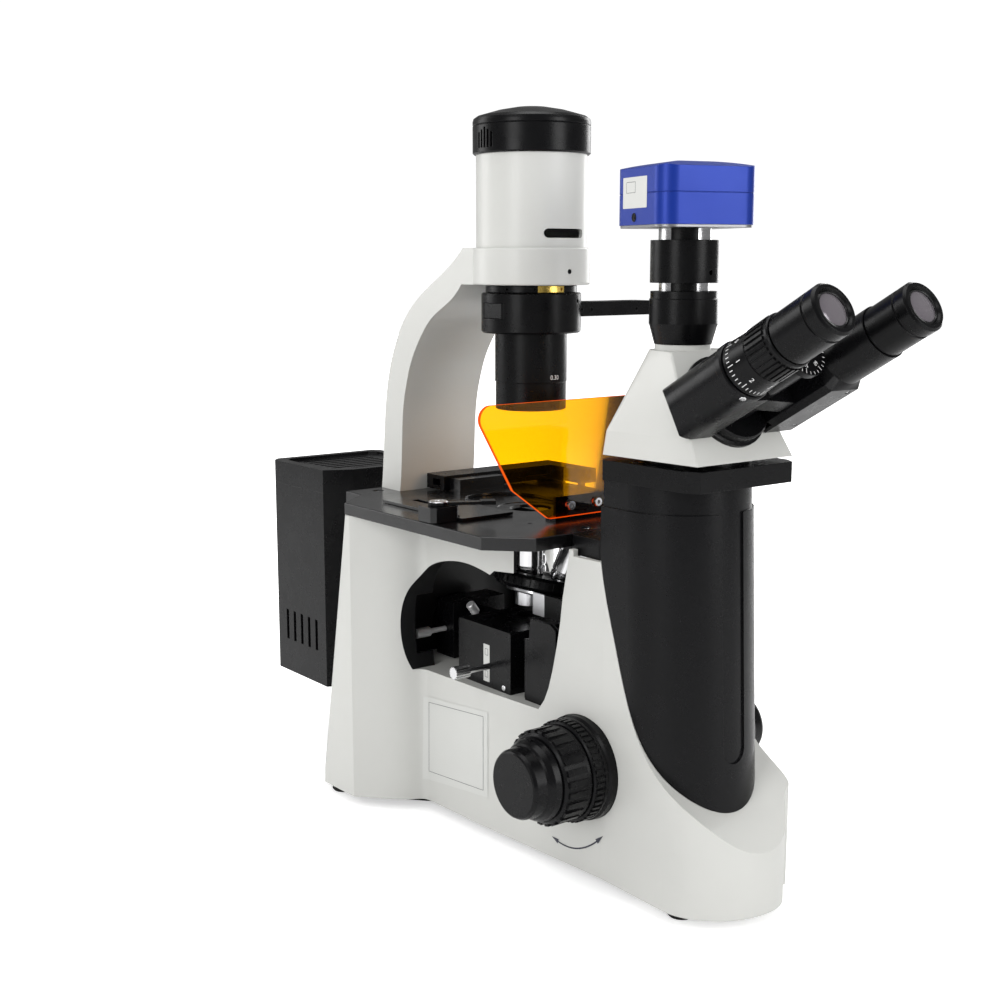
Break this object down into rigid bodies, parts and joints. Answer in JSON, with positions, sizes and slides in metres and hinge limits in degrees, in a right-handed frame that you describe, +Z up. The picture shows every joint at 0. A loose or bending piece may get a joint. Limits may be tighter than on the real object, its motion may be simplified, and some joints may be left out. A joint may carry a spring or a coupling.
{
  "type": "inverted microscope",
  "caption": "Inverted trinocular microscope with fluorescence lamp house, tilted nosepiece under the stage, orange light shield and camera.",
  "frame": {"origin": "centre of the footprint of the whole instrument, on the bench under its feet", "axes": "+Z up, -Y towards the operator, +X to the operator's right"},
  "size_m": [0.213, 0.5947, 0.5097],
  "materials": {
    "white_paint": "fine textured satin paint on cast aluminium",
    "black_paint": "satin black paint on aluminium",
    "black_anodised": "matt black anodised",
    "black_plastic": "moulded, fine grain",
    "rubber": "matt",
    "orange_acrylic": "clear orange acrylic",
    "steel": "bright steel",
    "bare_aluminium": "milled",
    "chrome": "polished",
    "brass": "turned",
    "blue_anodised": "blue anodised, fine brushed",
    "glass": "clear, coated"
  },
  "bodies": {
    "stand": {"base_casting": "white_paint", "bottom_plate": "black_anodised", "rubber_feet": "rubber", "front_cover": "black_paint", "stage_bracket": "black_anodised", "stage_plate": "black_anodised", "stage_insert": "black_anodised", "shield_bracket": "black_anodised", "light_shield": "orange_acrylic", "stage_and_shield_screws": "steel", "illumination_arm": "white_paint", "lamp_housing": "white_paint", "lamp_cap": "black_plastic", "lamp_module": "bare_aluminium", "condenser": "black_anodised", "illumination_lenses": "glass", "head_plate": "black_anodised", "head_body": "white_paint", "photo_tube": "black_anodised", "tube_hub": "black_anodised", "focus_flanges": "black_anodised", "focus_block": "black_anodised", "filter_box": "black_anodised", "light_tube": "black_anodised", "lamp_house": "black_paint", "lamp_house_lid": "black_paint", "arc_lamp": "glass", "power_inlet": "black_plastic"},
    "phase_slider": {"phase_slider": "black_anodised"},
    "aperture_diaphragm": {"diaphragm_ring": "brass"},
    "camera_turntable": {"camera_adapter": "black_anodised", "camera": "blue_anodised"},
    "light_path_rod": {"splitter_rod": "steel"},
    "left_tube": {"left_tube_housing": "black_paint"},
    "right_tube": {"right_tube_housing": "black_paint"},
    "diopter": {"diopter_ring": "black_anodised"},
    "left_ocular": {"left_eyepiece": "black_anodised"},
    "right_ocular": {"right_eyepiece": "black_anodised"},
    "tension_adjuster": {"tension_ring": "black_plastic"},
    "coarse_drive": {"left_coarse_knob": "black_plastic", "right_coarse_knob": "black_plastic"},
    "fine_drive": {"left_fine_knob": "black_plastic", "right_fine_knob": "black_plastic"},
    "nosepiece_carriage": {"nosepiece_carrier": "black_anodised", "focus_rack": "steel"},
    "nosepiece": {"nosepiece_turret": "black_anodised", "objective_4x": "chrome", "objective_10x": "chrome", "objective_20x": "chrome", "objective_40x": "chrome"},
    "filter_carriage": {"filter_slider": "steel"},
    "left_centring": {"left_centring_pin": "steel"},
    "upper_centring": {"upper_centring_pin": "steel"},
    "stage_cross_slide": {"cross_beam": "black_anodised"},
    "specimen_slide": {"specimen_holder": "black_anodised"},
    "clamp": {"clamp_lever": "black_anodised"},
    "stage_drive_y": {"stage_knob_y": "black_plastic"},
    "stage_drive_x": {"stage_knob_x": "black_plastic"},
    "dimmer": {"dimmer_knob": "black_plastic"},
    "rocker": {"power_switch": "black_plastic"}
  },
  "joints": [
    {"name": "phase_slider_travel", "type": "slide", "parent": "stand", "child": "phase_slider", "axis": [1, 0, 0], "range_m": [-0.084, 0]},
    {"name": "diaphragm_turn", "type": "hinge", "parent": "stand", "child": "aperture_diaphragm", "pos_m": [0, 0.0113, 0.3864], "axis": [0, 0, 1], "range_deg": [-45, 45]},
    {"name": "camera_turn", "type": "hinge", "parent": "stand", "child": "camera_turntable", "pos_m": [0, -0.1396, 0.3872], "axis": [0, 0, 1], "continuous": true},
    {"name": "light_path_travel", "type": "slide", "parent": "stand", "child": "light_path_rod", "axis": [1, 0, 0], "range_m": [-0.014, 0]},
    {"name": "left_tube_swing", "type": "hinge", "parent": "stand", "child": "left_tube", "pos_m": [0, -0.17611, 0.32094], "axis": [0, -0.866, 0.5], "range_deg": [0, 38.7]},
    {"name": "right_tube_swing", "type": "hinge", "parent": "stand", "child": "right_tube", "pos_m": [0, -0.17611, 0.32094], "axis": [0, -0.866, 0.5], "range_deg": [-38.7, 0]},
    {"name": "diopter_turn", "type": "hinge", "parent": "left_tube", "child": "diopter", "pos_m": [-0.038, -0.17821, 0.3173], "axis": [0, -0.866, 0.5], "range_deg": [-90, 90]},
    {"name": "left_ocular_pull", "type": "slide", "parent": "left_tube", "child": "left_ocular", "axis": [0, -0.866, 0.5], "range_m": [0, 0.02]},
    {"name": "right_ocular_pull", "type": "slide", "parent": "right_tube", "child": "right_ocular", "axis": [0, -0.866, 0.5], "range_m": [0, 0.02]},
    {"name": "tension_turn", "type": "hinge", "parent": "stand", "child": "tension_adjuster", "pos_m": [-0.058, -0.1017, 0.079], "axis": [1, 0, 0], "range_deg": [-45, 45]},
    {"name": "nosepiece_focus", "type": "slide", "parent": "stand", "child": "nosepiece_carriage", "axis": [0, 0, 1], "range_m": [-0.005, 0.004]},
    {"name": "coarse_focus", "type": "hinge", "parent": "stand", "child": "coarse_drive", "pos_m": [0, -0.1017, 0.079], "axis": [1, 0, 0], "range_deg": [-48.5, 39]},
    {"name": "fine_focus", "type": "hinge", "parent": "stand", "child": "fine_drive", "pos_m": [0, -0.1017, 0.079], "axis": [1, 0, 0], "continuous": true},
    {"name": "nosepiece_turn", "type": "hinge", "parent": "nosepiece_carriage", "child": "nosepiece", "pos_m": [0, 0.0113, 0.11273], "axis": [0.2419, 0, 0.9703], "continuous": true},
    {"name": "filter_change", "type": "slide", "parent": "stand", "child": "filter_carriage", "axis": [1, 0, 0], "range_m": [-0.024, 0.005]},
    {"name": "left_centring_travel", "type": "slide", "parent": "stand", "child": "left_centring", "axis": [-1, 0, 0], "range_m": [-0.002, 0.003]},
    {"name": "upper_centring_travel", "type": "slide", "parent": "stand", "child": "upper_centring", "axis": [-0.6018, 0, 0.7986], "range_m": [-0.0015, 0.003]},
    {"name": "stage_y_travel", "type": "slide", "parent": "stand", "child": "stage_cross_slide", "axis": [0, 1, 0], "range_m": [-0.022, 0.003]},
    {"name": "stage_x_travel", "type": "slide", "parent": "stage_cross_slide", "child": "specimen_slide", "axis": [1, 0, 0], "range_m": [-0.005, 0.02]},
    {"name": "clamp_turn", "type": "hinge", "parent": "specimen_slide", "child": "clamp", "pos_m": [-0.0835, 0.0073, 0.241], "axis": [0, 0, 1], "range_deg": [0, 70]},
    {"name": "stage_y_knob", "type": "hinge", "parent": "stage_cross_slide", "child": "stage_drive_y", "pos_m": [0.1, 0.0713, 0.199], "axis": [0, 0, 1], "range_deg": [-181, 25]},
    {"name": "stage_x_knob", "type": "hinge", "parent": "stage_cross_slide", "child": "stage_drive_x", "pos_m": [0.1, 0.0713, 0.179], "axis": [0, 0, 1], "range_deg": [-42, 165]},
    {"name": "dimmer_turn", "type": "hinge", "parent": "stand", "child": "dimmer", "pos_m": [0.06, 0.0163, 0.062], "axis": [1, 0, 0], "range_deg": [0, 270]},
    {"name": "switch_rock", "type": "hinge", "parent": "stand", "child": "rocker", "pos_m": [0.003, 0.1633, 0.041], "axis": [1, 0, 0], "range_deg": [0, 12]}
  ],
  "couplings": [
    {"joint": "coarse_focus", "follows": "nosepiece_focus", "rad_per_m": 166.67},
    {"joint": "right_tube_swing", "follows": "left_tube_swing", "ratio": -1},
    {"joint": "stage_y_knob", "follows": "stage_y_travel", "rad_per_m": 142.86},
    {"joint": "stage_x_knob", "follows": "stage_x_travel", "rad_per_m": 142.86}
  ]
}
